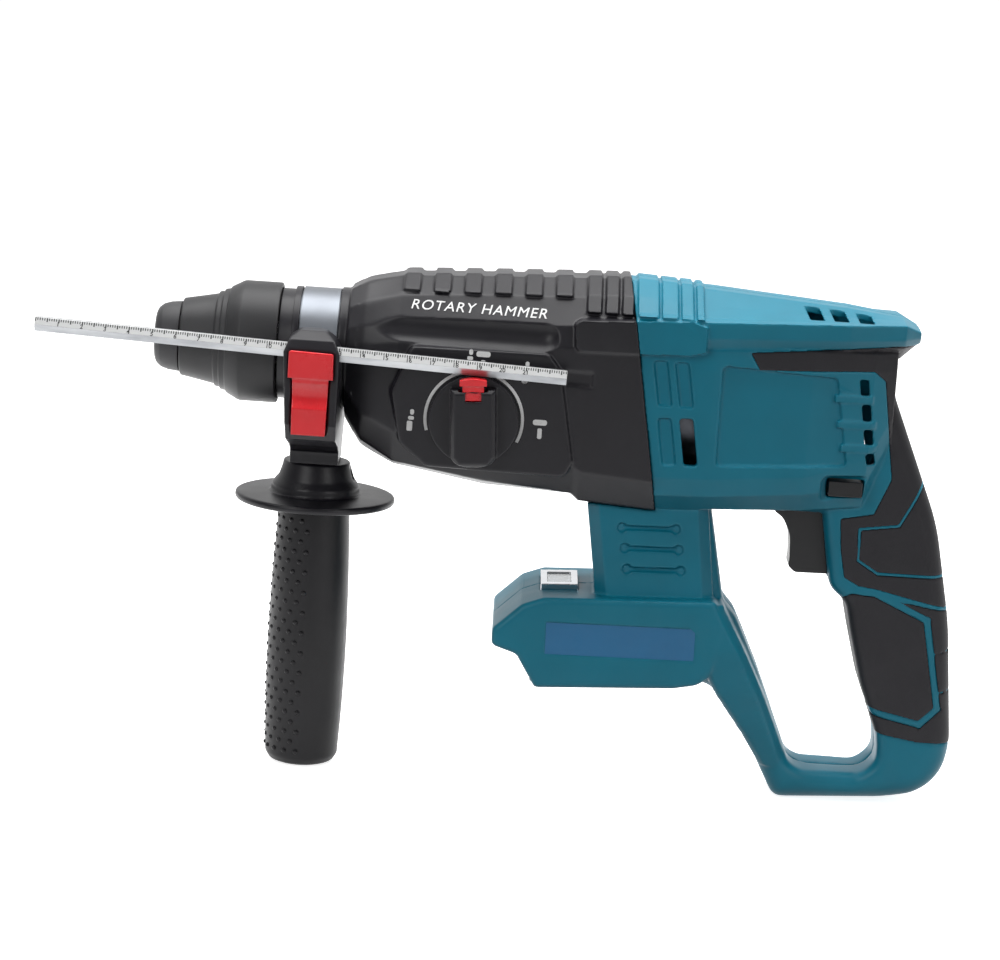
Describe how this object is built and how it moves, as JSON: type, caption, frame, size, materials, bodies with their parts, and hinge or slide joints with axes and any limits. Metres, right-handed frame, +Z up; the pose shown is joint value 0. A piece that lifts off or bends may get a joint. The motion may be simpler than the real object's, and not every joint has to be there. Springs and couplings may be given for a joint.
{
  "type": "rotary hammer",
  "caption": "Cordless rotary hammer with a quick-change tool holder, mode dial, rear loop handle, battery base, clamp-on side handle and sliding depth gauge.",
  "frame": {"origin": "mouth of the tool-holder bore, on the spindle axis", "axes": "+X along the spindle from the nose to the rear handle, +Z up, -Y the side with the mode dial and the depth gauge"},
  "size_m": [0.4097, 0.0935, 0.2292],
  "materials": {
    "blue_shell": "satin moulded plastic",
    "black_shell": "satin moulded plastic",
    "chuck_black": "matt moulded plastic",
    "nose_rubber": "matt rubber",
    "grip_rubber": "matt overmoulded rubber",
    "side_rubber": "textured moulded rubber",
    "badge": "flat plate with no lettering",
    "red_plastic": "satin red plastic",
    "trigger_plastic": "satin plastic",
    "steel": "turned steel",
    "gauge_steel": "bright drawn steel",
    "bearing_steel": "polished",
    "zinc_steel": "zinc plated",
    "spring_steel": "oiled",
    "bronze": "sintered",
    "cast_alloy": "die cast",
    "aluminium": "anodised",
    "lamination": "stacked sheet",
    "copper": "enamelled wire",
    "brass": "plated blade",
    "potting": "potted board",
    "chrome": "plated bezel",
    "lens": "clear lens",
    "seal_rubber": "oiled"
  },
  "bodies": {
    "housing": {"left_motor_housing": "blue_shell", "right_motor_housing": "blue_shell", "gear_housing": "black_shell", "barrel_collar": "steel", "dust_ring": "black_shell", "gear_case_plate": "cast_alloy", "cylinder_bracket": "cast_alloy", "spindle_front_bearing": "bearing_steel", "spindle_rear_bush": "bronze", "countershaft_bearings": "bearing_steel", "motor_bearings": "bearing_steel", "stator_core": "lamination", "stator_coils": "copper", "motor_controller": "potting", "terminal_block": "black_shell", "terminal_blades": "brass", "switch_body": "black_shell", "left_grip_rubber": "grip_rubber", "right_grip_rubber": "grip_rubber", "badge_plates": "badge", "lamp_bezel": "chrome", "lamp_lens": "lens", "housing_screws": "zinc_steel"},
    "spindle": {"tool_holder": "steel", "spindle_gear": "steel", "locking_balls": "bearing_steel", "ball_lock_ring": "steel", "chuck_spring": "spring_steel", "chuck_circlip": "spring_steel", "torque_clutch_spring": "spring_steel", "nose_cap": "nose_rubber"},
    "chuck_sleeve": {"chuck_sleeve": "chuck_black"},
    "impact_bolt": {"impact_bolt": "steel"},
    "piston": {"piston": "aluminium"},
    "piston_pin": {"piston_pin": "steel"},
    "striker": {"striker": "steel", "striker_seal": "seal_rubber"},
    "countershaft": {"countershaft": "steel", "countershaft_gear": "steel", "drive_pinion": "steel", "wobble_hub": "steel"},
    "clutch_sleeve": {"clutch_sleeve": "steel"},
    "wobble_ring": {"wobble_ring": "steel"},
    "rotor": {"motor_shaft": "steel", "rotor_core": "lamination", "cooling_fan": "black_shell"},
    "trigger": {"trigger": "trigger_plastic", "trigger_spring": "spring_steel"},
    "reversing_bar": {"reversing_bar": "trigger_plastic"},
    "mode_dial": {"mode_dial": "black_shell"},
    "dial_lock": {"dial_lock_button": "red_plastic"},
    "shift_fork": {"shift_fork": "cast_alloy"},
    "side_clamp": {"clamp_body": "black_shell", "clamp_strap": "steel", "clamp_stud": "zinc_steel"},
    "gauge_lock": {"gauge_lock_button": "red_plastic"},
    "depth_gauge": {"depth_gauge": "gauge_steel"},
    "side_grip": {"grip_flange": "black_shell", "side_grip": "side_rubber", "grip_nut": "zinc_steel"}
  },
  "joints": [
    {"name": "spindle_spin", "type": "hinge", "parent": "housing", "child": "spindle", "pos_m": [0.1, 0, 0], "axis": [1, 0, 0], "continuous": true},
    {"name": "chuck_sleeve_slide", "type": "slide", "parent": "spindle", "child": "chuck_sleeve", "axis": [1, 0, 0], "range_m": [0, 0.0055], "stiffness_N_per_m": 2000, "springref_m": -0.004, "deforming": ["chuck_spring"]},
    {"name": "impact_bolt_slide", "type": "slide", "parent": "spindle", "child": "impact_bolt", "axis": [1, 0, 0], "range_m": [-0.002, 0.002]},
    {"name": "countershaft_spin", "type": "hinge", "parent": "housing", "child": "countershaft", "pos_m": [0.15, 0, -0.033], "axis": [1, 0, 0], "continuous": true},
    {"name": "clutch_sleeve_slide", "type": "slide", "parent": "countershaft", "child": "clutch_sleeve", "axis": [1, 0, 0], "range_m": [-0.0032, 0.0032]},
    {"name": "motor_spin", "type": "hinge", "parent": "housing", "child": "rotor", "pos_m": [0.23, 0, -0.017], "axis": [1, 0, 0], "continuous": true},
    {"name": "wobble_tilt", "type": "hinge", "parent": "housing", "child": "wobble_ring", "pos_m": [0.162, 0, -0.033], "axis": [0, 1, 0], "range_deg": [-10, 10]},
    {"name": "piston_slide", "type": "slide", "parent": "housing", "child": "piston", "axis": [1, 0, 0], "range_m": [-0.006, 0.006]},
    {"name": "piston_pin_turn", "type": "hinge", "parent": "piston", "child": "piston_pin", "pos_m": [0.162, 0, 0], "axis": [0, 1, 0], "range_deg": [-10.5, 10.5]},
    {"name": "striker_slide", "type": "slide", "parent": "piston", "child": "striker", "axis": [1, 0, 0], "range_m": [-0.005, 0.01]},
    {"name": "trigger_pull", "type": "slide", "parent": "housing", "child": "trigger", "axis": [1, 0, 0], "range_m": [0, 0.006], "stiffness_N_per_m": 1200, "springref_m": -0.003, "deforming": ["trigger_spring"]},
    {"name": "reversing_bar_slide", "type": "slide", "parent": "housing", "child": "reversing_bar", "axis": [0, 1, 0], "range_m": [-0.003, 0.003]},
    {"name": "mode_dial_turn", "type": "hinge", "parent": "housing", "child": "mode_dial", "pos_m": [0.1405, -0.04, -0.0215], "axis": [0, 1, 0], "range_deg": [-86, 94]},
    {"name": "dial_lock_press", "type": "slide", "parent": "mode_dial", "child": "dial_lock", "axis": [0, 0, -1], "range_m": [0, 0.0015], "stiffness_N_per_m": 1500, "springref_m": -0.002},
    {"name": "shift_fork_slide", "type": "slide", "parent": "housing", "child": "shift_fork", "axis": [1, 0, 0], "range_m": [-0.0032, 0.0032]},
    {"name": "clamp_swing", "type": "hinge", "parent": "housing", "child": "side_clamp", "pos_m": [0.07, 0, 0], "axis": [-1, 0, 0], "range_deg": [0, 90]},
    {"name": "grip_twist", "type": "hinge", "parent": "side_clamp", "child": "side_grip", "pos_m": [0.072, 0, -0.12], "axis": [0, 0, 1], "continuous": true},
    {"name": "depth_gauge_slide", "type": "slide", "parent": "side_clamp", "child": "depth_gauge", "axis": [-0.9993, 0, 0.0366], "range_m": [-0.08, 0.06]},
    {"name": "gauge_lock_press", "type": "slide", "parent": "side_clamp", "child": "gauge_lock", "axis": [0, 1, 0], "range_m": [0, 0.0015], "stiffness_N_per_m": 2500, "springref_m": -0.002}
  ],
  "couplings": [
    {"joint": "countershaft_spin", "follows": "spindle_spin", "ratio": -3.5833},
    {"joint": "motor_spin", "follows": "spindle_spin", "ratio": 10.75},
    {"joint": "piston_slide", "follows": "wobble_tilt", "m_per_rad": 0.033},
    {"joint": "piston_pin_turn", "follows": "wobble_tilt", "ratio": 1},
    {"joint": "shift_fork_slide", "follows": "mode_dial_turn", "m_per_rad": -0.00191},
    {"joint": "clutch_sleeve_slide", "follows": "mode_dial_turn", "m_per_rad": -0.00191}
  ]
}
